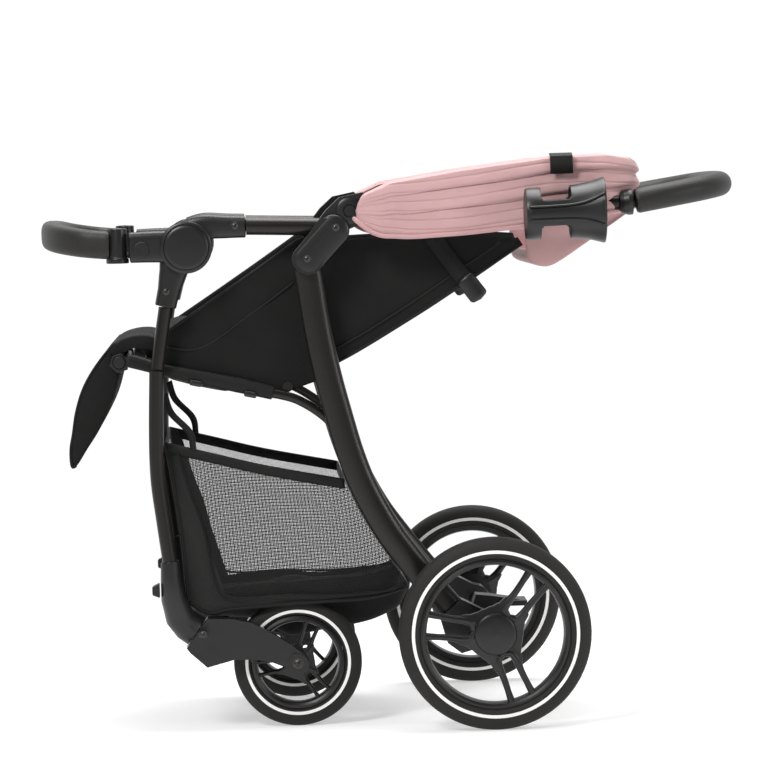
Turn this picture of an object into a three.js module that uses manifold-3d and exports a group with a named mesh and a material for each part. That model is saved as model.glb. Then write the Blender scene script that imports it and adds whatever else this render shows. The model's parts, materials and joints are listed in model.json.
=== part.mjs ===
// Folding baby stroller, part-folded: handle level, front legs upright, backrest flat, canopy stacked.
// Millimetres. +X is the rear (handle) end, -Y the stroller's left side, +Z up.
// The origin is on the floor under the middle of the whole object.
import * as THREE from 'three';
import { mergeVertices } from 'three/addons/utils/BufferGeometryUtils.js';
import Module from 'manifold-3d';

const wasm = await Module();
wasm.setup();

// ---------------------------------------------------------------- driving dimensions
const GAP = 0.4; // clearance between touching pieces
const FRAME_Y = 193; // side frames, each side of the middle
const REAR_AXLE = { x: 122, z: 127 }; // height is the wheel's radius
const REAR_TYRE = { radius: 127, inner: 99, halfWidth: 19, y: 257 };
const FRONT_AXLE = { x: -137, z: 85.8 };
const FRONT_TYRE = { radius: 85.8, inner: 62, halfWidth: 16, y: 151 };

// Pivots of the folding linkage, all across the stroller.
const FOLD_PIVOT = { x: -109, z: 624 }; // rear leg and upper frame
const HUB_PIVOT = { x: -269, z: 645 }; // upper frame and front leg
const STRUT_PIVOT = { x: -45, z: 336 }; // rear leg and seat strut
const BACK_PIVOT = { x: -140, z: 455 }; // seat and backrest
const FOOT_PIVOT = { x: -363, z: 494 }; // seat and footrest
const CANOPY_PIVOT = { x: -52, z: 687 }; // upper frame and canopy bows
const SWIVEL = { x: -271, y: 166, z: 132 }; // middle of the castor's parting face
const SWIVEL_DIRECTION = new THREE.Vector3(0.8, 0, -0.6); // from the leg into the fork

const TUBE = { armrest: 11.5, handle: 9.7, upperLeg: 8.9, lowerLeg: 9.9, cross: 8 };
const REAR_LEG = { halfDepth: 18.5, halfWidth: 10 };
const GRIP_RADIUS = 16.5;
const HANDLE_Z = 688;
const BUMPER = { knuckleX: -360, z: 650, radius: 16 };
const SEAT = { railInner: 168, railOuter: 180, wingInner: 161.5, wingOuter: 166, padHalf: 147 };
const BACKREST = { half: 158, wing: 7 };
const CANOPY = { inner: 169.5, outer: 207.5, frontOuter: 211.5 };
const BASKET = { half: 176, wall: 4 };

const group = new THREE.Group();

// ---------------------------------------------------------------- materials
const looks = {
  frame: { color: 0x26221f, roughness: 0.42, metalness: 0.6 },
  plastic: { color: 0x232323, roughness: 0.55, metalness: 0.0 },
  grip: { color: 0x1e1a19, roughness: 0.8, metalness: 0.0 },
  fabric: { color: 0x1b1a1a, roughness: 0.95, metalness: 0.0 },
  mesh: { color: 0x5b5955, roughness: 0.95, metalness: 0.0 },
  canopy: { color: 0xd9a3a5, roughness: 0.9, metalness: 0.0 },
  tyre: { color: 0x2b2a2a, roughness: 0.85, metalness: 0.0 },
  rim: { color: 0x303030, roughness: 0.6, metalness: 0.0 },
  steel: { color: 0x8d8d8d, roughness: 0.35, metalness: 0.9 },
};

function add(name, look, geometry) {
  const mesh = new THREE.Mesh(geometry, new THREE.MeshStandardMaterial(looks[look]));
  mesh.name = name;
  group.add(mesh);
}

// ---------------------------------------------------------------- solids
function weld(geometry) {
  const bare = geometry.clone();
  bare.deleteAttribute('normal');
  bare.deleteAttribute('uv');
  return mergeVertices(bare, 1e-4);
}

// Turns the faces outward where a swept section came out inside out.
function outward(geometry) {
  const welded = weld(geometry);
  const points = welded.attributes.position;
  const faces = Array.from(welded.index.array);
  const [a, b, c] = [new THREE.Vector3(), new THREE.Vector3(), new THREE.Vector3()];
  let volume = 0;
  for (let i = 0; i < faces.length; i += 3) {
    a.fromBufferAttribute(points, faces[i]);
    b.fromBufferAttribute(points, faces[i + 1]);
    c.fromBufferAttribute(points, faces[i + 2]);
    volume += a.dot(b.cross(c));
  }
  if (volume < 0) {
    faces.reverse();
    welded.setIndex(faces);
  }
  return welded;
}

function toSolid(geometry) {
  const closed = outward(geometry);
  return new wasm.Manifold(new wasm.Mesh({
    numProp: 3,
    vertProperties: new Float32Array(closed.attributes.position.array),
    triVerts: new Uint32Array(closed.index.array),
  }));
}

function toGeometry(solid) {
  const mesh = solid.getMesh();
  const geometry = new THREE.BufferGeometry();
  geometry.setAttribute('position', new THREE.BufferAttribute(mesh.vertProperties, 3));
  geometry.setIndex(new THREE.BufferAttribute(mesh.triVerts, 1));
  return geometry;
}

function join(...geometries) {
  return toGeometry(geometries.map(toSolid).reduce((whole, next) => whole.add(next)));
}

function cut(geometry, ...tools) {
  return toGeometry(tools.map(toSolid).reduce((rest, tool) => rest.subtract(tool), toSolid(geometry)));
}

// A flat piece: an outline in X and Z, between two distances from the middle plane on one side.
function slab(outline, near, far, side = 1) {
  const shape = outline instanceof THREE.Shape
    ? outline
    : new THREE.Shape(outline.map(([x, z]) => new THREE.Vector2(x, z)));
  const geometry = new THREE.ExtrudeGeometry(shape, {
    depth: far - near,
    bevelEnabled: false,
    curveSegments: 10,
  });
  geometry.rotateX(Math.PI / 2);
  geometry.translate(0, side > 0 ? far : -near, 0);
  return geometry;
}

function disc(radius, centre, near, far, side = 1, segments = 24) {
  const geometry = new THREE.CylinderGeometry(radius, radius, far - near, segments);
  geometry.translate(centre.x, side * (near + far) / 2, centre.z);
  return geometry;
}

function box(xRange, yRange, zRange) {
  const geometry = new THREE.BoxGeometry(
    xRange[1] - xRange[0], yRange[1] - yRange[0], zRange[1] - zRange[0],
  );
  geometry.translate(
    (xRange[0] + xRange[1]) / 2, (yRange[0] + yRange[1]) / 2, (zRange[0] + zRange[1]) / 2,
  );
  return geometry;
}

// An oval bar along a smooth path; the section's first radius is across the stroller.
function bar(points, radius, { depth = radius, sides = 14, steps = 16 } = {}) {
  const path = new THREE.CatmullRomCurve3(points.map(([x, y, z]) => new THREE.Vector3(x, y, z)));
  const section = new THREE.Shape(
    Array.from({ length: sides }, (_, i) => {
      const turn = (2 * Math.PI * i) / sides;
      return new THREE.Vector2(radius * Math.cos(turn), depth * Math.sin(turn));
    }),
  );
  return new THREE.ExtrudeGeometry(section, { steps, extrudePath: path, bevelEnabled: false });
}

// A round bar whose radius changes from one centre to the next, with flat ends square to the path.
function loft(stations, sides = 18) {
  const centres = stations.map(([x, y, z]) => new THREE.Vector3(x, y, z));
  const positions = [];
  const index = [];
  centres.forEach((centre, i) => {
    const before = centres[Math.max(i - 1, 0)];
    const after = centres[Math.min(i + 1, centres.length - 1)];
    const along = stations[i][4] ?? after.clone().sub(before).normalize();
    const across = new THREE.Vector3(0, 1, 0).addScaledVector(along, -along.y).normalize();
    const third = along.clone().cross(across);
    for (let k = 0; k < sides; k += 1) {
      const turn = (2 * Math.PI * k) / sides;
      const point = centre.clone()
        .addScaledVector(across, stations[i][3] * Math.cos(turn))
        .addScaledVector(third, stations[i][3] * Math.sin(turn));
      positions.push(point.x, point.y, point.z);
    }
  });
  for (let i = 0; i + 1 < centres.length; i += 1) {
    for (let k = 0; k < sides; k += 1) {
      const [a, b] = [i * sides + k, i * sides + ((k + 1) % sides)];
      index.push(a, b, a + sides, b, b + sides, a + sides);
    }
  }
  const last = (centres.length - 1) * sides;
  for (let k = 1; k + 1 < sides; k += 1) {
    index.push(0, k + 1, k, last, last + k, last + k + 1);
  }
  const geometry = new THREE.BufferGeometry();
  geometry.setAttribute('position', new THREE.Float32BufferAttribute(positions, 3));
  geometry.setIndex(index);
  return outward(geometry);
}

// A turned piece about a wheel axle: profile points are radius and distance from the middle plane.
function turned(profile, axle, y, segments) {
  const outline = [...profile, profile[0]].map(([r, w]) => new THREE.Vector2(r, w));
  const geometry = new THREE.LatheGeometry(outline, segments);
  geometry.translate(axle.x, y, axle.z);
  return outward(geometry);
}

function point(centre, radius, degrees) {
  const angle = THREE.MathUtils.degToRad(degrees);
  return [centre.x + radius * Math.cos(angle), centre.z + radius * Math.sin(angle)];
}

// ---------------------------------------------------------------- wheels
function tyre(size, axle, side, segments) {
  const { radius, inner, halfWidth } = size;
  const profile = [
    [inner, -halfWidth + 4], [inner + 4, -halfWidth + 1], [radius - 9, -halfWidth],
    [radius - 2, -halfWidth * 0.55], [radius, -halfWidth * 0.2], [radius, halfWidth * 0.2],
    [radius - 2, halfWidth * 0.55], [radius - 9, halfWidth], [inner + 4, halfWidth - 1],
    [inner, halfWidth - 4],
  ];
  return turned(profile, axle, side * size.y, segments);
}

// A rim with a hub and three forked spokes; bore runs in from the inner face of the hub.
function rim(size, axle, side, { rimDepth, hubRadius, firstSpoke, spread, bar: thick, bore, blind }) {
  const outer = size.inner - GAP;
  const near = size.y - size.halfWidth + 5;
  const far = size.y + size.halfWidth - 5;
  const ring = turned(
    [[outer - rimDepth, -size.halfWidth + 5], [outer, -size.halfWidth + 5],
      [outer, size.halfWidth - 5], [outer - rimDepth, size.halfWidth - 5]],
    axle, side * size.y, 48,
  );
  const pieces = [ring, disc(hubRadius, axle, near - 3, far + 1, side)];
  for (let i = 0; i < 3; i += 1) {
    const middle = firstSpoke + 120 * i;
    pieces.push(slab([
      point(axle, hubRadius - 2, middle - 40), point(axle, hubRadius * 1.25, middle - 16),
      point(axle, hubRadius * 1.25, middle + 16), point(axle, hubRadius - 2, middle + 40),
    ], size.y - 2, size.y + 10, side));
    for (const lean of [-1, 1]) {
      const root = point(axle, hubRadius - 2, middle + lean * 14);
      const tip = point(axle, outer - rimDepth + 2, middle + lean * spread);
      const run = new THREE.Vector2(tip[0] - root[0], tip[1] - root[1]).normalize();
      const half = [(-run.y * thick) / 2, (run.x * thick) / 2];
      pieces.push(slab([
        [root[0] - half[0], root[1] - half[1]], [tip[0] - half[0], tip[1] - half[1]],
        [tip[0] + half[0], tip[1] + half[1]], [root[0] + half[0], root[1] + half[1]],
      ], size.y - 2, size.y + 10, side));
    }
  }
  return cut(join(...pieces), disc(bore, axle, near - 10, blind, side));
}

// ---------------------------------------------------------------- rear frame
const LEG_END = { x: 66, z: 157 };

function rearLeg(side) {
  const y = side * FRAME_Y;
  const shaft = bar([
    [-107, y, 606], [-99, y, 536], [-88, y, 476], [-74, y, 418], [-59, y, 363],
    [-41, y, 315], [-13, y, 262], [18, y, 218], [47, y, 180], [LEG_END.x, y, LEG_END.z],
  ], REAR_LEG.halfWidth, { depth: REAR_LEG.halfDepth, sides: 14, steps: 16 });
  const eye = disc(19, FOLD_PIVOT, FRAME_Y - 10, FRAME_Y + 9.5, side);
  return join(shaft, eye);
}

function axleHousing(side) {
  const body = slab([
    [81.2, 168], [52.6, 144.6], [62, 110], [80, 96], [122, 107], [142, 120], [142, 134], [122, 147],
  ], 178, 210, side);
  return cut(join(body, disc(20, REAR_AXLE, 178, 214, side)), disc(8.3, REAR_AXLE, 170, 220, side));
}

function rearAxle() {
  const profile = [[0, -262], [6, -262], [6, -215], [8, -215], [8, 215], [6, 215], [6, 262], [0, 262]];
  const geometry = new THREE.LatheGeometry(profile.map(([r, y]) => new THREE.Vector2(r, y)), 16);
  geometry.translate(REAR_AXLE.x, 0, REAR_AXLE.z);
  return geometry;
}

// Open-topped bag, its lower corners drawn in between the front wheels.
function basket() {
  const arches = (radius, y) => [-1, 1].map((side) => disc(radius, FRONT_AXLE, y, 185, side, 32));
  const rim = [[-302, 384], [-70, 324], [-30, 250]];
  const outline = [...rim, [-4, 190], [-60, 158], [-150, 128], [-200, 176], [-279, 176]];
  const inside = [[-296, 400], [-75, 340], [-72, 320], [-35, 248], [-10, 191], [-62, 163],
    [-149, 134], [-198, 181], [-275, 181]];
  const tub = slab(outline, -BASKET.half, BASKET.half);
  const hollow = slab(inside, -BASKET.half + BASKET.wall, BASKET.half - BASKET.wall);
  const lid = box([-330, -70], [-BASKET.half + BASKET.wall, BASKET.half - BASKET.wall], [388, 430]);
  return cut(
    cut(tub, ...arches(92, 128)), cut(hollow, ...arches(92 + BASKET.wall, 128 - BASKET.wall)), lid,
  );
}

for (const [word, side] of [['left', -1], ['right', 1]]) {
  add(`rear_leg_${word}`, 'frame', rearLeg(side));
  add(`axle_housing_${word}`, 'plastic', axleHousing(side));
  add(`rear_tyre_${word}`, 'tyre', tyre(REAR_TYRE, REAR_AXLE, side, 40));
  add(`rear_rim_${word}`, 'rim', rim(REAR_TYRE, REAR_AXLE, side, {
    rimDepth: 6.5, hubRadius: 28, firstSpoke: 51, spread: 9.5, bar: 7, bore: 6.3, blind: 263,
  }));
}
add('rear_axle', 'steel', rearAxle());
add('storage_basket', 'mesh', basket());

function brakePedal() {
  const ring = disc(13, REAR_AXLE, 112, 160, -1);
  const arm = slab([
    [112, 130], [100, 156], [104, 168], [122, 166], [171, 158], [171, 152], [124, 152], [130, 130],
  ], 118, 154, -1);
  const tread = box([136, 172], [-164, -108], [152, 159]);
  return cut(join(ring, arm, tread), disc(8.4, REAR_AXLE, 100, 170, -1));
}
add('brake_pedal', 'plastic', brakePedal());

// ---------------------------------------------------------------- upper frame
function armrestEnd(side) {
  const socket = slab([
    [-258, 640], [-240, 655], [-190, 655.5], [-190, 685], [-230, 687], [-256, 688], [-284, 668],
  ], 183.5, 203, side);
  return join(disc(29, HUB_PIVOT, 183.5, 203, side), socket);
}

function hingeBracket(side) {
  const housing = slab([
    [-91, 654], [-91, 679], [-83, 689], [-65, 705], [-34, 711], [-29, 704], [-29, 672],
    [-42, 667], [-60, 660], [-78, 652],
  ], 180, 203, side);
  const capsule = slab([
    [-127, 633], [-91, 679], [-73, 677], [-64, 667], [-92, 614],
  ], 203, 212, side);
  const y = side * FRAME_Y;
  const tubeSeat = bar([[-150, y, 669.1], [-91.6, y, 667]], TUBE.armrest + GAP, { sides: 20, steps: 1 });
  return cut(join(housing, capsule, disc(20, FOLD_PIVOT, 203, 212, side)), tubeSeat);
}

function handleGrip() {
  const half = [
    [326, -FRAME_Y, HANDLE_Z + 0.5], [372, -190, 696], [416, -172, 703], [443, -138, 707.5],
    [452, -90, 709], [453, 0, 709.5],
  ];
  const whole = [...half, ...half.slice(0, -1).reverse().map(([x, y, z]) => [x, -y, z])];
  return bar(whole, GRIP_RADIUS, { sides: 14, steps: 32 });
}

for (const [word, side] of [['left', -1], ['right', 1]]) {
  const y = side * FRAME_Y;
  add(`armrest_end_${word}`, 'plastic', armrestEnd(side));
  add(`armrest_tube_${word}`, 'frame', bar(
    [[-189, y, 670.5], [-92.6, y, 667]], TUBE.armrest, { sides: 20, steps: 1 },
  ));
  add(`hinge_bracket_${word}`, 'plastic', hingeBracket(side));
  add(`handle_tube_${word}`, 'frame', bar(
    [[-29 + GAP, y, HANDLE_Z], [305 - GAP, y, HANDLE_Z]], TUBE.handle, { sides: 16, steps: 1 },
  ));
  add(`handle_collar_${word}`, 'plastic', bar(
    [[305, y, HANDLE_Z], [323, y, HANDLE_Z]], 17, { sides: 20, steps: 1 },
  ));
}
add('handle_grip', 'grip', handleGrip());

// Cup holder lying on its side along the handle, mouth to the rear, clipped round the left tube.
const CUP = { y: -246, back: { x: 176, z: 673, r: 34.5 }, mouth: { x: 278, z: 681, r: 40 } };

function cupHolder() {
  const { y, back, mouth } = CUP;
  const along = new THREE.Vector3(1, 0, 0);
  const wall = 3.5;
  const body = loft([
    [back.x, y, back.z, back.r, along], [mouth.x - 12, y, mouth.z - 1, mouth.r - 2, along],
    [mouth.x, y, mouth.z, mouth.r, along],
  ], 28);
  const hollow = loft([
    [back.x + wall, y, back.z, back.r - wall, along], [mouth.x + 4, y, mouth.z, mouth.r - wall, along],
  ], 28);
  const lowerNotch = box([207, 231], [y - 60, y + 60], [630, 655]);
  const upperNotch = box([206, 234], [y - 60, y + 20], [704, 730]);
  const clamp = cut(
    bar([[206, -FRAME_Y, HANDLE_Z], [236, -FRAME_Y, HANDLE_Z]], 14, { sides: 20, steps: 1 }),
    bar([[200, -FRAME_Y, HANDLE_Z], [242, -FRAME_Y, HANDLE_Z]], TUBE.handle + GAP, { sides: 16, steps: 1 }),
  );
  const stem = box([210, 232], [-213, -204], [681, 695]);
  return join(cut(body, hollow, lowerNotch, upperNotch), cut(stem, hollow), clamp);
}
add('cup_holder', 'plastic', cupHolder());

// ---------------------------------------------------------------- canopy, stacked on the handle
// Each layer is a U in plan: an arm along each handle tube and a crossing at the rear.
function canopyLayer(profile, bow, half = CANOPY.outer) {
  const opening = box([-80, 238], [-CANOPY.inner, CANOPY.inner], [560, 800]);
  const pieces = [cut(slab(profile, -half, half), opening)];
  for (const side of [-1, 1]) {
    if (bow) {
      pieces.push(slab(bow.outline, bow.near, bow.far, side));
      pieces.push(disc(12, CANOPY_PIVOT, bow.near, bow.far, side));
    }
  }
  return join(...pieces);
}

function canopyRear() {
  const plate = [[44, 703.5], [44, 712], [338, 712], [340, 706], [330, 703.5]];
  const frontFall = cut(
    slab([[240, 712], [338, 712], [340, 700], [322, 676], [246, 676]], -CANOPY.outer, CANOPY.outer),
    box([200, 345], [-212, -174], [600, 709.5]),
    box([200, 345], [174, 212], [600, 709.5]),
  );
  const backPanel = slab(
    [[322, 684], [334, 676], [219, 607], [186, 609], [185, 629], [224, 622]], -150, 150,
  );
  const hollowed = cut(
    canopyLayer(plate),
    box([296, 345], [-212, -174], [600, 709.5]),
    box([296, 345], [174, 212], [600, 709.5]),
  );
  const curtains = [-1, 1].map((side) => slab(
    [[0, 651], [28, 650], [96, 653], [178, 660], [178, 704], [40, 704], [0, 684]], 204, CANOPY.outer, side,
  ));
  return join(hollowed, frontFall, backPanel, ...curtains);
}

function canopyMiddle() {
  return canopyLayer(
    [[40, 713], [337, 713], [337, 722], [328, 729.5], [213, 729.5], [40, 719.5]],
    { outline: [[-52, 677], [44, 713], [40, 719.4], [-56, 694]], near: 204, far: 207.2 },
  );
}

function canopyFront() {
  return canopyLayer(
    [[10, 719], [40, 720.5], [213, 730.5], [330, 730.5], [334, 734], [324, 747], [291, 750],
      [213, 748], [98, 735], [10, 725]],
    { outline: [[-52, 680], [44, 720.7], [30, 727], [-58, 696]], near: 207.8, far: CANOPY.frontOuter },
    CANOPY.frontOuter,
  );
}

add('canopy_rear', 'canopy', canopyRear());
add('canopy_middle', 'canopy', canopyMiddle());
add('canopy_front', 'canopy', canopyFront());

// ---------------------------------------------------------------- front frame
const BUTTON = { x: -328, z: 644, radius: 10 };

function frontHub(side) {
  const face = join(disc(31, HUB_PIVOT, 203.5, 214, side), slab([
    [-342, 627], [-342, 666], [-302, 667], [-280, 676], [-240, 645], [-272, 611], [-285, 566],
    [-313, 568], [-308, 612], [-305, 622],
  ], 203.5, 212, side));
  const block = slab([[-342, 627], [-342, 666], [-305, 667], [-303, 645], [-305, 624]], 181, 214, side);
  const socket = slab([[-306, 612], [-313, 568], [-285, 566], [-275, 606], [-290, 608]], 181, 206, side);
  return cut(join(face, block, socket), disc(BUTTON.radius + 0.5, BUTTON, 206, 220, side));
}

function lowerLeg(side) {
  const y = side * FRAME_Y;
  return bar([
    [-313, y, 482], [-316, y, 400], [-316, y, 340], [-310, y, 283], [-303.5, y, 229.5],
  ], TUBE.lowerLeg, { steps: 12 });
}

function elbow(side) {
  const square = new THREE.Vector3(0.12, 0, -0.99).normalize();
  return loft([
    [-303.4, side * FRAME_Y, 229, 12.5, square], [-303, side * FRAME_Y, 206, 13.5],
    [-300.5, side * 190, 180, 16.5], [-293, side * 181, 154, 19.5], [-283, side * 171, 141, 21],
    [SWIVEL.x, side * SWIVEL.y, SWIVEL.z, 21.5, SWIVEL_DIRECTION],
  ]);
}

for (const [word, side] of [['left', -1], ['right', 1]]) {
  const y = side * FRAME_Y;
  add(`hub_${word}`, 'plastic', frontHub(side));
  add(`front_leg_upper_${word}`, 'frame', bar(
    [[-299, y, 566 - GAP * 2], [-312.5, y, 484]], TUBE.upperLeg, { steps: 1 },
  ));
  add(`front_leg_lower_${word}`, 'frame', lowerLeg(side));
  add(`elbow_${word}`, 'plastic', elbow(side));
  add(`swivel_lock_${word}`, 'plastic', slab(
    [[-318, 201], [-318, 181], [-328, 185], [-328, 196]], 184, 198, side,
  ));
  add(`bumper_button_${word}`, 'plastic', disc(BUTTON.radius, BUTTON, 210, 216, side));
}
add('front_cross_tube', 'frame', bar([[-303, -167, 178], [-303, 167, 178]], 7, { steps: 1 }));

// ---------------------------------------------------------------- castors
function fork(side) {
  const start = GAP / 2;
  const arm = slab([
    [-256 + start, 150], [-224, 149], [-197, 143], [-183, 135], [-164, 124], [-145, 111], [-128, 98],
    [-137, 72], [-154, 82], [-176, 91], [-200, 94], [-223, 94], [-258, 85], [-280, 105],
    [-285 + start, 111.5],
  ], 171, 187, side);
  const crown = slab([
    [-256 + start, 150], [-228, 149], [-236, 93], [-258, 85], [-280, 105], [-285 + start, 111.5],
  ], 145, 187, side);
  const end = disc(14, FRONT_AXLE, 171, 189, side);
  const stub = disc(5, FRONT_AXLE, 138, 175, side, 16);
  return join(arm, crown, end, stub);
}

for (const [word, side] of [['left', -1], ['right', 1]]) {
  add(`fork_${word}`, 'plastic', fork(side));
  add(`front_tyre_${word}`, 'tyre', tyre(FRONT_TYRE, FRONT_AXLE, side, 32));
  add(`front_rim_${word}`, 'rim', rim(FRONT_TYRE, FRONT_AXLE, side, {
    rimDepth: 5.5, hubRadius: 13, firstSpoke: 68, spread: 11, bar: 5, bore: 5.3, blind: 172,
  }));
}

// ---------------------------------------------------------------- seat
function seatRail(side) {
  const rail = slab([
    [-349, 503], [-301, 487], [-158, 454], [-155, 446], [-160, 438], [-268, 466], [-322, 481],
    [-344, 489],
  ], SEAT.railInner, SEAT.railOuter, side);
  const strut = slab([
    [-162, 452], [-124, 443], [-88, 421], [-61, 387], [-41, 340], [-49, 333], [-70, 382],
    [-95, 413], [-126, 434], [-162, 441],
  ], SEAT.railInner + 2, SEAT.railOuter - 2, side);
  return join(rail, strut, disc(9, STRUT_PIVOT, SEAT.railInner + 2, SEAT.railOuter, side, 16));
}

function sideWing(side) {
  return slab(
    [[-312, 506], [-299, 533], [-118, 652], [-110, 600], [-128, 478]],
    SEAT.wingInner, SEAT.wingOuter, side,
  );
}

for (const [word, side] of [['left', -1], ['right', 1]]) {
  add(`seat_rail_${word}`, 'frame', seatRail(side));
  add(`side_wing_${word}`, 'fabric', sideWing(side));
}
const inside = SEAT.railInner - GAP;
add('seat_front_tube', 'frame', bar([[-325, -inside, 491], [-325, inside, 491]], TUBE.cross, { steps: 1 }));
add('seat_pad', 'fabric', slab(
  [[-345, 509], [-343, 519], [-334, 525], [-168, 488], [-160, 480], [-160, 466]],
  -SEAT.padHalf, SEAT.padHalf,
));
add('backrest_tube', 'frame', bar(
  [[BACK_PIVOT.x, -inside, BACK_PIVOT.z], [BACK_PIVOT.x, inside, BACK_PIVOT.z]], 7, { steps: 1 },
));

function backrest() {
  const board = slab([
    [-130, 464], [-67, 487], [26, 539], [93, 580], [172, 631], [161, 648], [15, 556], [-77, 505],
    [-138, 482],
  ], -BACKREST.half, BACKREST.half);
  const wings = [-1, 1].map((side) => slab(
    [[-132, 466], [26, 540], [170, 632], [161, 647], [-90, 645], [-112, 600], [-136, 484]],
    BACKREST.half - BACKREST.wing, BACKREST.half, side,
  ));
  return join(board, ...wings);
}
add('backrest', 'fabric', backrest());

// ---------------------------------------------------------------- footrest
function footrestPad() {
  const outline = new THREE.Shape();
  outline.moveTo(-372, 517);
  outline.bezierCurveTo(-392, 505, -410, 462, -426, 398);
  outline.lineTo(-431, 354);
  outline.lineTo(-427, 352);
  outline.bezierCurveTo(-400, 392, -380, 430, -366, 476);
  return slab(outline, -150, 150);
}

function footrestFrame() {
  const arms = [-1, 1].map((side) => cut(
    slab([[-361, 506], [-352, 497], [-352, 484], [-366, 480], [-376, 490], [-372, 502]], 152, 166, side),
    disc(8.6, FOOT_PIVOT, 160, 170, side, 20),
  ));
  return join(...arms, bar([[-358, -155, 492], [-358, 155, 492]], 5, { steps: 1 }));
}
add('footrest_pad', 'fabric', footrestPad());
add('footrest_frame', 'plastic', footrestFrame());
for (const [word, side] of [['left', -1], ['right', 1]]) {
  add(`footrest_button_${word}`, 'plastic', disc(8, FOOT_PIVOT, 163, 169, side, 20));
}

// ---------------------------------------------------------------- bumper bar
function bumperBar() {
  const z = BUMPER.z;
  const half = [
    [-379, -190, z + 1], [-406, -183, z + 4], [-434, -152, z + 9], [-448, -100, z + 13],
    [-452, 0, z + 15],
  ];
  const whole = [...half, ...half.slice(0, -1).reverse().map(([x, y, zz]) => [x, -y, zz])];
  return bar(whole, BUMPER.radius, { sides: 14, steps: 30 });
}

function bumperKnuckle(side) {
  const barrel = new THREE.LatheGeometry(
    [[0, 626], [15, 626], [15, 632], [13, 634], [13, 672], [0, 673]]
      .map(([r, z]) => new THREE.Vector2(r, z)),
    20,
  );
  barrel.rotateX(Math.PI / 2);
  barrel.translate(BUMPER.knuckleX, side * FRAME_Y, 0);
  return barrel;
}
add('bumper_bar', 'grip', bumperBar());
for (const [word, side] of [['left', -1], ['right', 1]]) {
  add(`bumper_knuckle_${word}`, 'plastic', bumperKnuckle(side));
}

export default group;
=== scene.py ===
import json
import bmesh
import bpy
import numpy as np
from mathutils import Matrix, Vector


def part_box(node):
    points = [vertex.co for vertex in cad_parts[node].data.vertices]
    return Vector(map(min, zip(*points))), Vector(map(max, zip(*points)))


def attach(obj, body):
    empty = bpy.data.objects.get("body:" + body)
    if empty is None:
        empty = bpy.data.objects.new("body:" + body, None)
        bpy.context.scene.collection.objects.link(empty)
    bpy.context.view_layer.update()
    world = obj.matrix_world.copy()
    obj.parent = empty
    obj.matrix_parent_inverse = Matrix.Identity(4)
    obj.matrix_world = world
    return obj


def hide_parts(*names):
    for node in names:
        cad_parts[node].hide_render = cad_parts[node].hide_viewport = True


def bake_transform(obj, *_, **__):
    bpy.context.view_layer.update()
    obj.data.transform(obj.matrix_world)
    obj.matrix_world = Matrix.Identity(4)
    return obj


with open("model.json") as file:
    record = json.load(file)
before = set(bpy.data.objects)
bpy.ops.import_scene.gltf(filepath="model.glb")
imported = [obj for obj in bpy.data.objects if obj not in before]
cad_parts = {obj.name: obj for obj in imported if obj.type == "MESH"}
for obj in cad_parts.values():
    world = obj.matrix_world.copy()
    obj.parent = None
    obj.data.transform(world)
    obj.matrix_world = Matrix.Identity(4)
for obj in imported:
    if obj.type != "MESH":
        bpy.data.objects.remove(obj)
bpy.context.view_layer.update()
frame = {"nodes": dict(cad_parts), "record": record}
MM = 0.001
SIDES = (("left", -1), ("right", 1))

# ------------------------------------------------------------------ studio
# A long lens from the stroller's left, a seamless pale floor and three large soft lamps.
# The camera leans very slightly, as a hand-levelled tripod does.
CAMERA_AT = Vector((-202.2, -5441.7, 726.4)) * MM
YAW, PITCH, LEAN = -0.03512, -0.05038, 0.02853
LENS_OVER_WIDTH = 5.2171

scene = bpy.context.scene
camera = bpy.data.objects.new("camera", bpy.data.cameras.new("camera"))
camera.data.sensor_width = 36
camera.data.lens = 36 * LENS_OVER_WIDTH
camera.data.clip_end = 60
turn = Matrix.Rotation(YAW, 4, "Z") @ Matrix.Rotation(PITCH, 4, "X") @ Matrix.Rotation(LEAN, 4, "Y")
camera.matrix_world = Matrix.Translation(CAMERA_AT) @ turn @ Matrix.Rotation(np.pi / 2, 4, "X")
scene.collection.objects.link(camera)
scene.camera = camera
scene.view_settings.view_transform = "Standard"

# The far half of the room is white and the half behind the camera dim, so black parts keep their depth.
world = bpy.data.worlds.new("studio")
world.use_nodes = True
room = world.node_tree
toward = room.nodes.new("ShaderNodeTexCoord").outputs["Generated"]
split = room.nodes.new("ShaderNodeSeparateXYZ")
fade = room.nodes.new("ShaderNodeMapRange")
fade.interpolation_type = "SMOOTHSTEP"
for socket, value in (("From Min", -0.45), ("From Max", 0.55), ("To Min", 0.09), ("To Max", 1.02)):
    fade.inputs[socket].default_value = value
room.links.new(toward, split.inputs[0])
room.links.new(split.outputs["Y"], fade.inputs["Value"])
room.nodes["Background"].inputs["Color"].default_value = (1.0, 0.998, 0.995, 1)
room.links.new(fade.outputs[0], room.nodes["Background"].inputs["Strength"])
scene.world = world


def lamp(name, at, aim, size, power):
    """A square soft lamp at one point, facing another."""
    light = bpy.data.objects.new(name, bpy.data.lights.new(name, "AREA"))
    light.data.size = size
    light.data.energy = power
    facing = (Vector(aim) - Vector(at)).to_track_quat("-Z", "Y").to_matrix().to_4x4()
    light.matrix_world = Matrix.Translation(at) @ facing
    scene.collection.objects.link(light)


lamp("key", (-1.5, -2.3, 2.7), (0, 0, 0.4), 0.9, 75)
lamp("side", (2.6, -2.0, 1.3), (0, 0, 0.4), 0.8, 22)
lamp("top", (0.2, 0.4, 3.4), (0, 0, 0.4), 2.4, 120)


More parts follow.
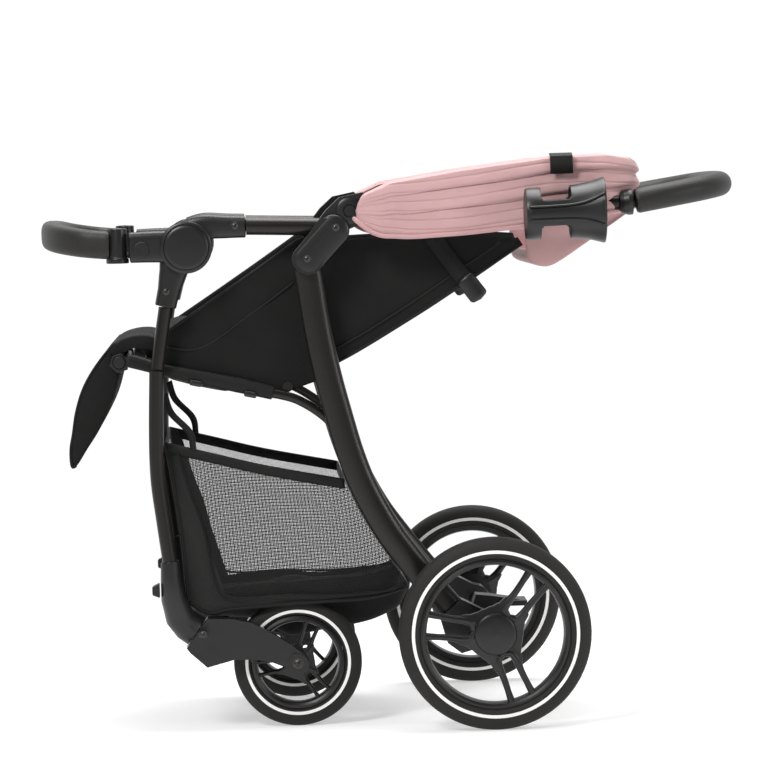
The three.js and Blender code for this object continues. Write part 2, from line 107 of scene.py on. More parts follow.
# ------------------------------------------------------------------ shader arithmetic
# Finishes are sums and products of a few soft noises over each piece, written as plain arithmetic.
class Wire:
    """A shader socket. Sums and products of wires add Math nodes to the same material."""

    def __init__(self, tree, socket):
        self.tree = tree
        self.socket = socket

    def node(self, kind, settings=None, inputs=None, output=0):
        """Adds a node of that type: its settings first, then its sockets' values or links."""
        made = self.tree.nodes.new(kind)
        for name, value in (settings or {}).items():
            setattr(made, name, value)
        for name, value in (inputs or {}).items():
            if isinstance(value, Wire):
                self.tree.links.new(value.socket, made.inputs[name])
            else:
                made.inputs[name].default_value = value
        return Wire(self.tree, made.outputs[output])

    def math(self, operation, first, second=0.0):
        return self.node("ShaderNodeMath", {"operation": operation}, {0: first, 1: second})

    def __add__(self, other):
        return self.math("ADD", self, other)

    __radd__ = __add__

    def __mul__(self, other):
        return self.math("MULTIPLY", self, other)

    __rmul__ = __mul__

    def __sub__(self, other):
        return self.math("SUBTRACT", self, other)

    def __rsub__(self, other):
        return self.math("SUBTRACT", other, self)

    def into(self, shader, name):
        """Feeds this wire to one of a shader's sockets."""
        self.tree.links.new(self.socket, shader.inputs[name])


def new_material(name, **constants):
    """A material with a Principled surface and its constants, its shader and Object coordinates."""
    material = bpy.data.materials.new(name)
    material.use_nodes = True
    shader = material.node_tree.nodes["Principled BSDF"]
    for socket, value in constants.items():
        shader.inputs[socket.replace("_", " ")].default_value = value
    place = Wire(material.node_tree, None).node("ShaderNodeTexCoord", output="Object")
    return material, shader, place


def noise(place, scale, detail=2.0, rough=0.5):
    """Soft random values from 0 to 1, scale per metre."""
    settings = {"Vector": place, "Scale": scale, "Detail": detail, "Roughness": rough}
    return place.node("ShaderNodeTexNoise", None, settings)


def tint(place, mask, dark, light):
    """A colour that runs from dark to light with the mask; each end is a colour or a wire."""
    ends = [end if isinstance(end, Wire) else (*end, 1) for end in (dark, light)]
    return place.node("ShaderNodeMix", {"data_type": "RGBA"}, {0: mask, 6: ends[0], 7: ends[1]}, 2)


def relief(place, height, shader, distance, strength=1.0):
    """Bumps a shader by a height wire; distance is the height of 1, in metres."""
    settings = {"Height": height, "Distance": distance, "Strength": strength}
    place.node("ShaderNodeBump", None, settings).into(shader, "Normal")


# ------------------------------------------------------------------ floor
# A plain sheet of pale studio paper under the wheels.
# Beyond the lamps' reach the paper glows by itself, so it runs into the white of the room.
# Near the stroller it glows faintly as well: painted light that lightens the shadows cast on the paper.
paper, paper_shader, here = new_material("studio_paper", Roughness=0.95, Specular_IOR_Level=0.1)
paper_shader.inputs["Emission Strength"].default_value = 1.0
away = here.node("ShaderNodeVectorMath", {"operation": "LENGTH"}, {0: here}, "Value")
far_off = here.node("ShaderNodeMapRange", {"interpolation_type": "SMOOTHSTEP"},
                    {"Value": away, "From Min": 0.6, "From Max": 1.8})
tint(here, far_off, (0.62, 0.62, 0.62), (0, 0, 0)).into(paper_shader, "Base Color")
# Painted light: the paper's own glow is faint near the stroller, which lightens its cast shadows, and full
# far off.
tint(here, far_off, (0.45, 0.45, 0.45), (1, 1, 1)).into(paper_shader, "Emission Color")
floor_mesh = bpy.data.meshes.new("floor")
FLOOR_HALF = 30
corners = [(x * FLOOR_HALF, y * FLOOR_HALF, 0) for x, y in ((-1, -1), (1, -1), (1, 1), (-1, 1))]
floor_mesh.from_pydata(corners, [], [(0, 1, 2, 3)])
floor_mesh.materials.append(paper)
floor = bpy.data.objects.new("floor", floor_mesh)
scene.collection.objects.link(floor)


# ------------------------------------------------------------------ frame tubes
# The tubes are steel under a satin black-brown powder coat, bent cold to smooth curves.
# Every tube is an ellipse carried along a smooth line through its bends.
def spline(points, count):
    """Catmull-Rom curve through the points, in mm, resampled to equal steps of length."""
    p = np.array(points, float)
    p = np.vstack([2 * p[0] - p[1], p, 2 * p[-1] - p[-2]])
    t = np.linspace(0, 1, 24, endpoint=False)[:, None]
    runs = [
        0.5 * (2 * b + (c - a) * t + (2 * a - 5 * b + 4 * c - d) * t**2 + (3 * b - a - 3 * c + d) * t**3)
        for a, b, c, d in zip(p, p[1:], p[2:], p[3:])
    ]
    line = np.vstack([*runs, p[-2:-1]])
    length = np.concatenate([[0], np.cumsum(np.linalg.norm(np.diff(line, axis=0), axis=1))])
    even = np.linspace(0, length[-1], count)
    return np.stack([np.interp(even, length, line[:, k]) for k in range(3)], 1)


def frames(line, up):
    """Two unit directions square to a line at each point; the first is as near up as it can be."""
    along = np.gradient(line, axis=0)
    along /= np.linalg.norm(along, axis=1, keepdims=True)
    first = np.array(up, float) - (along @ np.array(up, float))[:, None] * along
    first /= np.linalg.norm(first, axis=1, keepdims=True)
    return first, np.cross(along, first)


def new_piece(name, material, body, mesh, stands_for=()):
    """Puts a mesh in the scene as one piece that rides on a body."""
    piece = bpy.data.objects.new(name, mesh)
    scene.collection.objects.link(piece)
    if material:
        mesh.materials.clear()
        mesh.materials.append(material)
    if body:
        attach(piece, body)
    if stands_for:
        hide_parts(*stands_for)
    return piece


SOFT_TURN = 0.7  # radians: a sharper fold than this stays a hard edge


def skin(name, grid, round_u=False, round_v=True, caps=True, keep=None):
    """A mesh from a grid of points in mm: u along, v around.

    Open ends of a round grid are closed by flat caps; keep, if given, is true for the squares to keep."""
    rows, columns = grid.shape[:2]
    index = np.arange(rows * columns).reshape(rows, columns)
    u = np.arange(rows if round_u else rows - 1)
    v = np.arange(columns if round_v else columns - 1)
    i, j = np.meshgrid(u, v, indexing="ij")
    ni, nj = (i + 1) % rows, (j + 1) % columns
    quads = np.stack([index[i, j], index[ni, j], index[ni, nj], index[i, nj]], -1)
    quads = quads[keep] if keep is not None else quads.reshape(-1, 4)
    faces = quads.tolist()
    if caps and round_v and not round_u:
        faces += [index[0].tolist(), index[-1][::-1].tolist()]
    mesh = bpy.data.meshes.new(name)
    mesh.from_pydata((grid.reshape(-1, 3) * MM).tolist(), [], faces)
    work = bmesh.new()
    work.from_mesh(mesh)
    bmesh.ops.recalc_face_normals(work, faces=work.faces)
    work.to_mesh(mesh)
    work.free()
    mesh.shade_smooth()
    mesh.set_sharp_from_angle(angle=SOFT_TURN)
    return mesh


def sweep(name, points, radius, up=(0, 1, 0), count=64, sides=32, rounded=0.0, square=1.0):
    """An ellipse carried along a smooth line; radius is (towards up, square to it), or rows of them along it.

    rounded closes both ends as domes of that length: near an end the section shrinks as a quarter ellipse.
    square is the power of the cosine and sine: below 1 it fills the ellipse's corners."""
    line = spline(points, count)
    first, second = frames(line, up)
    size = np.array(radius, float)
    if size.ndim == 0:
        size = np.array([size, size])
    if size.ndim == 1:
        size = np.tile(size, (2, 1))
    share = np.linspace(0, 1, len(size))
    size = np.stack([np.interp(np.linspace(0, 1, count), share, size[:, k]) for k in range(2)], 1)
    if rounded:
        steps = np.linalg.norm(np.diff(line, axis=0), axis=1)
        run = np.concatenate([[0], np.cumsum(steps)])
        depth = np.clip(np.minimum(run, run[-1] - run) / rounded, 0, 1)
        size = size * np.sqrt(np.clip(1 - (1 - depth) ** 2, 0.0009, 1))[:, None]
    turn = np.linspace(0, 2 * np.pi, sides, endpoint=False)
    across, over = (np.sign(c) * np.abs(c) ** square for c in (np.cos(turn), np.sin(turn)))
    grid = (
        line[:, None]
        + first[:, None] * (size[:, 0, None, None] * across[None, :, None])
        + second[:, None] * (size[:, 1, None, None] * over[None, :, None])
    )
    return skin(name, grid)


paint, paint_shader, here = new_material(
    "frame_paint", Metallic=0.35, Specular_IOR_Level=0.5, Coat_Roughness=0.3
)
speckle = noise(here, 1400, 3)
patches = noise(here, 9, 3)
tint(here, patches, (0.0085, 0.0075, 0.0068), (0.014, 0.012, 0.011)).into(paint_shader, "Base Color")
(0.24 + 0.1 * speckle + 0.06 * patches).into(paint_shader, "Roughness")
relief(here, speckle, paint_shader, 0.00004, 0.6)

FRAME_Y = 193
LEG_LINE = [(-109, 612), (-106, 590), (-99, 536), (-88, 476), (-74, 418), (-59, 363), (-41, 315),
            (-13, 262), (18, 218), (47, 180), (66, 157)]
for word, side in SIDES:
    y = side * FRAME_Y
    leg = sweep(f"leg_{word}", [(x, y, z) for x, z in LEG_LINE], (10, 18.5), count=90, sides=40)
    new_piece(f"leg_{word}", paint, "rear_frame", leg, [f"rear_leg_{word}"])

# ------------------------------------------------------------------ axle housings
# Injection-moulded black nylon shoes with a fine grain, pushed over the foot of each leg and screwed.
# The axle runs through a bore in each.
node_body = {}
for body_name, listed in frame["record"]["behaviour"]["bodies"].items():
    for listed_node in listed if isinstance(listed, list) else listed["nodes"]:
        node_body[listed_node] = body_name


def plastic(name, colour, rough, grain=0.00005):
    """Moulded plastic with a fine spark-eroded grain and slightly uneven wear."""
    material, shader, here = new_material(name, Specular_IOR_Level=0.45)
    fine = noise(here, 1900, 2)
    wide = noise(here, 14, 3)
    tint(here, wide, [c * 0.85 for c in colour], [c * 1.2 for c in colour]).into(shader, "Base Color")
    (rough + 0.08 * fine + 0.06 * wide).into(shader, "Roughness")
    relief(here, fine, shader, grain, 0.8)
    return material


HARD_EDGE = 0.6  # radians between faces, past which a moulded edge is rounded


def moulded(node, material, bevel=1.4, segments=2):
    """A moulded part: the solid's own faces, every hard edge rounded by the bevel, in mm."""
    mesh = frame["nodes"][node].data.copy()
    work = bmesh.new()
    work.from_mesh(mesh)
    bmesh.ops.remove_doubles(work, verts=work.verts, dist=2e-6)
    bmesh.ops.dissolve_limit(work, angle_limit=0.02, verts=work.verts, edges=work.edges)
    bmesh.ops.recalc_face_normals(work, faces=work.faces)
    work.to_mesh(mesh)
    work.free()
    mesh.shade_smooth()
    mesh.set_sharp_from_angle(angle=HARD_EDGE)
    piece = new_piece(f"{node}_moulding", material, node_body[node], mesh, [node])
    if bevel:
        rounding = piece.modifiers.new("rounding", "BEVEL")
        rounding.width = bevel * MM
        rounding.segments = segments
        rounding.limit_method = "ANGLE"
        rounding.angle_limit = HARD_EDGE
        rounding.harden_normals = True
    return piece


nylon = plastic("black_nylon", (0.0085, 0.0082, 0.008), 0.3)
for word, side in SIDES:
    moulded(f"axle_housing_{word}", nylon, 2)

# ------------------------------------------------------------------ rear wheels
# Foamed rubber tyres with a thin white line on each flank, on black moulded rims with forked spokes.
# The tyre is its section turned about the axle.
def lathe(name, section, centre, y, turns=144):
    """A closed section of (radius, along the axle) points, in mm, turned about an axle along Y."""
    r, depth = np.array(section, float).T
    angle = np.linspace(0, 2 * np.pi, turns, endpoint=False)[:, None]
    grid = np.stack([
        centre[0] + r * np.cos(angle),
        y + depth + 0 * angle,
        centre[1] + r * np.sin(angle),
    ], -1)
    return skin(name, grid, round_u=True)


def rubber(name, centre, line):
    """Tyre rubber: charcoal with a white line between two radii, fine radial moulding and dust."""
    material, shader, here = new_material(name, Specular_IOR_Level=0.35)
    split = lambda k: here.node("ShaderNodeSeparateXYZ", None, {0: here}, k)
    across, up = split(0) - centre[0] * MM, split(2) - centre[1] * MM
    radius = here.math("SQRT", across * across + up * up)
    inside = here.math("GREATER_THAN", radius, line[0] * MM) * here.math("LESS_THAN", radius, line[1] * MM)
    fine = noise(here, 1100, 3)
    wide = noise(here, 22, 3)
    ground = tint(here, wide, (0.0105, 0.0098, 0.0092), (0.019, 0.0178, 0.0165))
    tint(here, inside, ground, (0.93, 0.92, 0.90)).into(shader, "Base Color")
    (0.62 + 0.16 * fine).into(shader, "Roughness")
    relief(here, fine, shader, 0.0001, 0.7)
    return material


def tyre_section(inner, outer, half):
    """Flank, shoulder and a flat tread with two fine grooves, mirrored; inner and outer are radii in mm.

    The shoulder is a quarter ellipse: its radius grows as the sine, its width as 1 minus the cosine."""
    flank = [(inner, -half + 5), (inner + 2, -half + 2.2), (inner + 6, -half + 0.8),
             (inner + 8, -half + 0.5)]
    arc = np.linspace(0.04, 0.94, 12) * np.pi / 2
    depth = (outer - inner - 8) * np.sin(arc)
    shoulder = [(inner + 8 + d, -half + 0.5 + (half - 6) * (1 - np.cos(a))) for a, d in zip(arc, depth)]
    groove = [(outer - 0.1, -6.2), (outer - 1.5, -5.6), (outer - 1.5, -4.6), (outer, -4)]
    left = [*flank, *shoulder, *groove]
    return [*left, *[(r, -y) for r, y in reversed(left)]]


def star(name, radius, centre, near, far, scale=1.0):
    """A plate with rounded rims, between the planes y = near and y = far, in mm.

    Its outline is a list of (degrees, radius) points over one turn, joined by straight steps in angle."""
    angle = np.linspace(0, 360, 240, endpoint=False)
    edge = np.interp(angle, *np.array(sorted(radius)).T, period=360) * scale
    r = np.stack([0.01 + 0 * edge, edge - 1.6, edge - 0.5, edge, edge, edge - 0.5, edge - 1.6,
                  0.01 + 0 * edge], 1)
    step = (far - near) / abs(far - near)
    y = np.array([near, near, near + 0.5 * step, near + 1.6 * step, far - 1.6 * step, far - 0.5 * step, far,
                  far])
    turn = np.radians(angle)[:, None]
    grid = np.stack([centre[0] + r * np.cos(turn), y[None] + 0 * r, centre[1] + r * np.sin(turn)], -1)
    return skin(name, grid, round_u=True, round_v=False)


def wheel_centre(word, side, kind, centre, y, rim, scale, first, material):
    """Rim ring, three U-shaped forked spokes from its bed, and the concave-sided web they spring from.

    Web and fork points are (degrees off the spoke, radius in mm) and scale with the wheel."""
    body = f"{kind}_wheel_{word}"
    bed = [(rim - 7, -13), (rim - 0.4, -14), (rim - 0.2, 14), (rim - 4, 15.5), (rim - 7, 14),
           (rim - 8.5, 8), (rim - 8.5, -8)]
    ring = lathe(f"{kind}_rim_ring_{word}", [(r, side * d) for r, d in bed], centre, side * y)
    new_piece(f"{kind}_rim_ring_{word}", material, body, ring, [f"{kind}_rim_{word}"])
    face = side * (y + 14)
    web = [(first + 120 * k + lean * a, r) for k in range(3) for lean in (-1, 1)
           for a, r in ((0.5, 29), (8, 29.5), (13, 34), (17, 50), (22, 51), (30, 42), (42, 37.5), (59, 36))]
    plate = star(f"{kind}_web_{word}", [(a % 360, r) for a, r in web], centre, side * (y + 4),
                 face - side * 1.5, scale)
    new_piece(f"{kind}_web_{word}", material, body, plate)
    for k in range(3):
        middle = first + 120 * k
        fork = [(rim / scale - 5, 9.2), (80, 10), (60, 12), (44, 16.5), (34, 17), (30, 9)]
        path = [(r, a) for r, a in fork] + [(27.5, 0)] + [(r, -a) for r, a in reversed(fork)]
        line = []
        for r, a in path:
            t = np.radians(middle + a)
            line.append((centre[0] + scale * r * np.cos(t), face - side * 5,
                         centre[1] + scale * r * np.sin(t)))
        size = scale * np.array([(5.5, 5), (5.2, 4.2), (5, 4.6), (5, 5.6), (4.5, 4.5), (5, 5.6), (5, 4.6),
                                 (5.2, 4.2), (5.5, 5)])
        spoke = sweep(f"{kind}_spoke_{word}_{k}", line, size, (0, 1, 0), count=120, sides=20)
        new_piece(f"{kind}_spoke_{word}_{k}", material, body, spoke)


REAR_AXLE, REAR_Y = (122, 127), 257
rear_rubber = rubber("rear_rubber", REAR_AXLE, (106.3, 110.6))
rim_plastic = plastic("rim_plastic", (0.008, 0.0078, 0.0076), 0.28)
for word, side in SIDES:
    mesh = lathe(f"rear_tyre_{word}", tyre_section(99.2, 127, 19), REAR_AXLE, side * REAR_Y)
    new_piece(f"rear_tyre_{word}_rubber", rear_rubber, f"rear_wheel_{word}", mesh,
              [f"rear_tyre_{word}"])
    wheel_centre(word, side, "rear", REAR_AXLE, REAR_Y, 99.2, 1.0, 51, rim_plastic)
    dome = [(0, 0), (0, 17), (14, 16.6), (22, 15.8), (26, 15), (27.6, 13.8), (28, 12.2), (28, 0)]
    cap = [(max(r, 0.01), side * (d + 1)) for r, d in dome]
    mesh = lathe(f"rear_cap_{word}", cap, REAR_AXLE, side * REAR_Y, 72)
    new_piece(f"rear_cap_{word}", rim_plastic, f"rear_wheel_{word}", mesh)

# ------------------------------------------------------------------ axle and brake
# A painted steel axle tube runs through both housings and carries the rear wheels on its ends.
# A moulded foot pedal sits over its middle.
moulded("rear_axle", paint, 0.6)
moulded("brake_pedal", nylon, 2)

# ------------------------------------------------------------------ armrests, hinges and handle
# Straight painted tubes plug into moulded sockets at the front hubs and hinge brackets over the rear legs.
# The handle tubes go on from the brackets, and a ring on each bracket holds the canopy's bows.
PLATE_Y = 208
for word, side in SIDES:
    y = side * FRAME_Y
    line = [(-189, y, 670.5), (-140, y, 668.7), (-92.6, y, 667)]
    armrest = sweep(f"armrest_{word}", line, 11.5, sides=48)
    new_piece(f"armrest_{word}", paint, "upper_frame", armrest, [f"armrest_tube_{word}"])
    handle = sweep(f"handle_{word}", [(-28.6, y, 688), (130, y, 688), (304.6, y, 688)], 9.7, sides=48)
    new_piece(f"handle_{word}", paint, "upper_frame", handle, [f"handle_tube_{word}"])
    socket = [(-268, y, 663), (-246, y, 670.5), (-215, y, 670.3), (-196, y, 670), (-189, y, 670)]
    size = [(19, 9.5), (17, 9.8), (15.6, 10), (14.8, 10.2), (14.4, 10.6)]
    mesh = sweep(f"armrest_socket_{word}", socket, size, (0, 0, 1), 70, 48, 2, 0.7)
    new_piece(f"armrest_socket_{word}", nylon, "upper_frame", mesh, [f"armrest_end_{word}"])
    moulded(f"hinge_bracket_{word}", nylon, 2.2, 3)
    plate_line = ((-123, 609), (-109, 624.5), (-90, 645), (-72, 664), (-60, 677))
    plate = [(x, side * PLATE_Y, z) for x, z in plate_line]
    mesh = sweep(f"hinge_capsule_{word}", plate, (5.6, 20.6), (0, 1, 0), 110, 48, 19, 0.8)
    new_piece(f"hinge_capsule_{word}", nylon, "upper_frame", mesh)
    ring = [(7, -1), (7, -4), (0.01, -4), (0.01, -5), (17, -5), (17.5, 0.6), (15, 2), (9, 2)]
    mesh = lathe(f"canopy_hinge_{word}", [(r, side * d) for r, d in ring], (-52, 687), side * 203.5, 64)
    new_piece(f"canopy_hinge_{word}", nylon, "upper_frame", mesh)
    line = [(305, y, 688), (314, y, 688), (325, y, 688.4)]
    collar = sweep(f"collar_{word}", line, [(r, r) for r in (12, 15.5, 17.4, 17.4)], (0, 0, 1), 40, 40, 2)
    new_piece(f"handle_collar_{word}_moulding", nylon, "upper_frame", collar,
              [f"handle_collar_{word}"])

# ------------------------------------------------------------------ handle grip
# Black-brown leatherette drawn tight round a foam-covered push bar.
# A moulded collar on each handle tube closes its ends.
leather, leather_shader, here = new_material("leatherette", Specular_IOR_Level=0.45)
pores = noise(here, 900, 4, 0.65)
creases = noise(here, 120, 3)
tint(here, creases, (0.0075, 0.0066, 0.0062), (0.0135, 0.0118, 0.011)).into(leather_shader, "Base Color")
(0.44 + 0.16 * pores).into(leather_shader, "Roughness")
relief(here, pores + 1.5 * creases, leather_shader, 0.0003, 0.6)
HALF_GRIP = [(326, -193, 688.5), (372, -190, 696), (416, -172, 703), (443, -138, 707.5), (452, -90, 709)]
grip_line = [*HALF_GRIP, (453, 0, 709.5), *[(x, -y, z) for x, y, z in reversed(HALF_GRIP)]]
mesh = sweep("grip", grip_line, (16.5, 16.5), (0, 0, 1), count=240, sides=40, rounded=4)
new_piece("grip_cover", leather, "upper_frame", mesh, ["handle_grip"])

# ------------------------------------------------------------------ cup holder
# A moulded cup held to the left handle tube by a clamp, lying on its side while the tube is level.
# Its wall is a flared tube with a wide notch above and below; a smooth spine runs down its outer side.
CUP_Y, CUP_Z = -246, 676
CUP_FOOT, CUP_TILT = 177, 0.03
NOTCH, CORNER = (197, 236), 2  # where the notches start and end along the cup, and their corners' cut
NOTCH_DEEP, CORNER_DEEP = 0.5, 0.58  # sine of the turn from the spine at a notch's floor
x = np.array([177, 178, 181, 186, 191, 197, 199, 205, 212, 220,
              228, 234, 236, 242, 250, 258, 265, 272, 278, 281])
r = np.interp(x, [177, 182, 207, 240, 262, 277, 281], [33, 34.6, 34.2, 35, 38, 42.5, 43.5])
angle = np.radians(np.arange(0, 360, 5))
wall = np.stack([
    x[:, None] + 0 * angle,
    CUP_Y + r[:, None] * np.cos(angle),
    CUP_Z + CUP_TILT * (x[:, None] - CUP_FOOT) + r[:, None] * np.sin(angle),
], -1)
up, across_x = np.abs(np.sin(angle + np.radians(2.5))), (x[:-1] + x[1:])[:, None] / 2
opening = (up[None] > NOTCH_DEEP) & (across_x > NOTCH[0]) & (across_x < NOTCH[1])
past_corners = (across_x > NOTCH[0] + CORNER) & (across_x < NOTCH[1] - CORNER)
keep = ~(opening & ((up[None] > CORNER_DEEP) | past_corners))
mesh = skin("cup_wall", wall, caps=False, keep=keep)
cup = new_piece("cup_wall", nylon, "upper_frame", mesh, ["cup_holder"])
wall_thickness = cup.modifiers.new("wall", "SOLIDIFY")
wall_thickness.thickness = 3 * MM
wall_thickness.offset = -1
soft_edges = cup.modifiers.new("soft_edges", "BEVEL")
soft_edges.width = 1.2 * MM
soft_edges.segments = 3
gloss = plastic("gloss_black", (0.006, 0.0058, 0.0056), 0.34, 0.00001)
base_disc = lathe("cup_base", [(0.01, -1.5), (0.01, 1.5), (32, 1.5), (33, 0), (32, -1.5)], (0, 0), 0, 72)
base_at = Matrix.Translation(Vector((CUP_FOOT + 2, CUP_Y, CUP_Z)) * MM)
base_disc.transform(base_at @ Matrix.Rotation(np.pi / 2, 4, "Z"))
new_piece("cup_base", nylon, "upper_frame", base_disc)
SPINE = [(180, 34.4, 676.5), (207, 34.6, 677), (240, 35.2, 678), (262, 38, 679.5), (280, 43, 681)]
spine_line = [(x, CUP_Y - out, z) for x, out, z in SPINE]
widths = [(half, 1.8) for half in (6.5, 6.5, 7, 9, 14)]
mesh = sweep("cup_spine", spine_line, widths, (0, 0, 1), count=60, sides=24, rounded=3)
new_piece("cup_spine", gloss, "upper_frame", mesh)
for tilt in (-1, 1):
    away = zip(spine_line, (9, 9, 10, 14, 21), (1, 1, 1, 2, 5))
    edge = [(x, y + inwards, z + tilt * high) for (x, y, z), high, inwards in away]
    mesh = sweep(f"cup_rib_{tilt}", edge, (1.6, 2.6), (0, 0, 1), count=60, sides=16, rounded=3)
    new_piece(f"cup_rib_{'upper' if tilt > 0 else 'lower'}", nylon, "upper_frame", mesh)
clamp = sweep("cup_clamp", [(205, -193, 688), (237, -193, 688)], 14, sides=40, rounded=3)
new_piece("cup_clamp", nylon, "upper_frame", clamp)

# ------------------------------------------------------------------ front hubs and legs
# Round moulded hubs join armrest, bumper and front leg: a drum, the bumper's block and the leg's socket.
# The painted leg tubes end in moulded elbows that turn inwards to the castors.
HUB = (-269, 645)
BLOCK_Y, SOCKET_Y = 197.5, 195
for word, side in SIDES:
    y = side * FRAME_Y
    drum = [(0.01, 183), (28, 183), (30.5, 185.5), (30.5, 203), (33, 204.5), (33.6, 211), (32, 213.5),
            (0.01, 213.5)]
    mesh = lathe(f"hub_drum_{word}", [(r, side * d) for r, d in drum], HUB, 0, 96)
    new_piece(f"hub_drum_{word}", nylon, "front_frame", mesh, [f"hub_{word}"])
    block = [(x, side * BLOCK_Y, z) for x, z in ((-290, 646.5), (-318, 646.8), (-345, 646.5))]
    size = [(21, 15.5), (20.5, 15.5), (20, 15)]
    mesh = sweep(f"hub_block_{word}", block, size, (0, 0, 1), 50, 48, 2.5, 0.4)
    new_piece(f"hub_block_{word}", nylon, "front_frame", mesh)
    foot = [(x, side * SOCKET_Y, z) for x, z in ((-281, 634), (-288, 611), (-295, 583), (-299, 566))]
    size = [(24, 12), (18, 12.5), (14.8, 12.5), (14.2, 13)]
    mesh = sweep(f"hub_leg_socket_{word}", foot, size, (1, 0, 0), 60, 48, 2, 0.65)
    new_piece(f"hub_leg_socket_{word}", nylon, "front_frame", mesh)
    line = [(-299, y, 566), (-306, y, 525), (-312.5, y, 485)]
    upper = sweep(f"upper_{word}", line, (9.5, 8.9), count=30, sides=40)
    new_piece(f"front_upper_{word}", paint, "front_frame", upper, [f"front_leg_upper_{word}"])
    line = [(-313, y, 482), (-316, y, 400), (-316, y, 340), (-310, y, 283), (-303.5, y, 229.5)]
    lower = sweep(f"lower_{word}", line, 9.9, sides=40)
    new_piece(f"front_lower_{word}", paint, "front_frame", lower, [f"front_leg_lower_{word}"])
    moulded(f"elbow_{word}", nylon, 1.2)
    moulded(f"swivel_lock_{word}", nylon, 1.6)
    moulded(f"bumper_button_{word}", nylon, 1)
moulded("front_cross_tube", paint, 0)

# ------------------------------------------------------------------ castors and front wheels
# Moulded black forks swivel under the elbows, each with one arm outside its wheel and an axle stub.
# The small wheels are made like the rear ones.
FRONT_AXLE, FRONT_Y = (-137, 85.8), 151
front_rubber = rubber("front_rubber", FRONT_AXLE, (66.6, 70.6))
for word, side in SIDES:
    moulded(f"fork_{word}", nylon, 2.4, 3)
    mesh = lathe(f"front_tyre_{word}", tyre_section(62.2, 85.8, 16), FRONT_AXLE, side * FRONT_Y, 120)
    new_piece(f"front_tyre_{word}_rubber", front_rubber, f"front_wheel_{word}", mesh,
              [f"front_tyre_{word}"])
    wheel_centre(word, side, "front", FRONT_AXLE, FRONT_Y, 62.2, 0.62, 68, rim_plastic)
    dome = [(0.01, 0), (0.01, 18), (9, 17.6), (13.5, 16), (14.5, 14), (14.5, 0)]
    mesh = lathe(f"front_cap_{word}", [(r, side * d) for r, d in dome], FRONT_AXLE, side * FRONT_Y, 72)
    new_piece(f"front_cap_{word}", rim_plastic, f"front_wheel_{word}", mesh)

# ------------------------------------------------------------------ seat frame
# Flat painted steel rails run from the front legs under the seat and bend down to the rear legs.
# Two painted cross tubes tie them together.
RAIL_Y = 174
for word, side in SIDES:
    y = side * RAIL_Y
    strut = [(-168, y, 448), (-150, y, 445), (-124, y, 436), (-91, y, 413), (-66, y, 381), (-52, y, 350),
             (-45, y, 335)]
    mesh = sweep(f"seat_strut_{word}", strut, (4.5, 6.2), count=60, rounded=4)
    new_piece(f"seat_strut_{word}", paint, "seat_frame", mesh, [f"seat_rail_{word}"])
moulded("seat_front_tube", paint, 0)
moulded("backrest_tube", paint, 0)

# ------------------------------------------------------------------ footrest frame
# Two moulded black arms joined by a cross rod under the calf pad.
# A round push button on each side frees the hinge.
moulded("footrest_frame", nylon, 1.5)
for word, side in SIDES:
    moulded(f"footrest_button_{word}", nylon, 0.8)

# ------------------------------------------------------------------ bumper bar
# A foam-padded bar, flat above and below, in the grip's leatherette.
# Both ends plug into ribbed moulded knuckles on the hubs' blocks.
HALF_BAR = [(-368, -191, 650.5), (-379, -190, 651), (-406, -183, 654), (-434, -152, 659), (-448, -100, 663)]
bar_line = [*HALF_BAR, (-452, 0, 665), *[(x, -y, z) for x, y, z in reversed(HALF_BAR)]]
mesh = sweep("bumper", bar_line, (18.5, 15), (0, 0, 1), count=200, sides=48, rounded=3, square=0.62)
new_piece("bumper_cover", leather, "bumper", mesh, ["bumper_bar"])
for word, side in SIDES:
    moulded(f"bumper_knuckle_{word}", nylon, 1.8, 3)

# ------------------------------------------------------------------ shopping basket
# A soft basket of see-through polyester net with dense net at its ends, a taped rim and a cloth base.
# It hangs between the rear legs, and a tape strap at each front corner ties it to the seat's rail.
def cloth(name, grid, material, body, thickness=1.2, stands_for=()):
    """A sheet through a grid of points, in mm. Its UV map holds the lengths along both threads, in metres.
"""
    mesh = skin(name, grid, round_v=False, caps=False)
    along = [np.linalg.norm(np.diff(grid, axis=k), axis=2) for k in (0, 1)]
    u = np.vstack([np.zeros((1, grid.shape[1])), np.cumsum(along[0], axis=0)])
    v = np.hstack([np.zeros((grid.shape[0], 1)), np.cumsum(along[1], axis=1)])
    corner = np.empty(len(mesh.loops), int)
    mesh.loops.foreach_get("vertex_index", corner)
    threads = np.stack([u.ravel()[corner], v.ravel()[corner]], 1) * MM
    mesh.uv_layers.new(name="threads").data.foreach_set("uv", threads.astype(np.float32).ravel())
    piece = new_piece(name, material, body, mesh, stands_for)
    if thickness:
        solid = piece.modifiers.new("thickness", "SOLIDIFY")
        solid.thickness = thickness * MM
        solid.offset = 0
    return piece


def between(lower, upper, rows, columns, y):
    """An upright sheet at y, in mm, ruled between two smooth (x, z) curves: rows along them, columns up."""
    low, high = (spline([(x, 0, z) for x, z in curve], rows)[:, None] for curve in (lower, upper))
    up = np.linspace(0, 1, columns)[None, :, None]
    grid = low + (high - low) * up
    grid[..., 1] = y
    return grid


def woven(name, dark, light, pitch=1.1, depth=0.00012, rough=0.86, sheen=0.08):
    """Woven cloth: two sets of threads crossing along the UV lengths, over and under, with soft wear."""
    material, shader, here = new_material(name, Sheen_Weight=sheen, Specular_IOR_Level=0.22)
    threads = here.node("ShaderNodeUVMap", {"uv_map": "threads"})
    turns = 2 * np.pi / (pitch * MM)
    wave = [here.math("SINE", here.node("ShaderNodeSeparateXYZ", None, {0: threads},
                                        k) * turns) for k in (0, 1)]
    weave = wave[0] * wave[1]
    wide = noise(here, 16, 4, 0.6)
    tint(here, wide + 0.1 * weave, dark, light).into(shader, "Base Color")
    (rough + 0.08 * weave).into(shader, "Roughness")
    relief(here, weave + 6 * noise(here, 30, 4), shader, depth, 0.7)
    return material


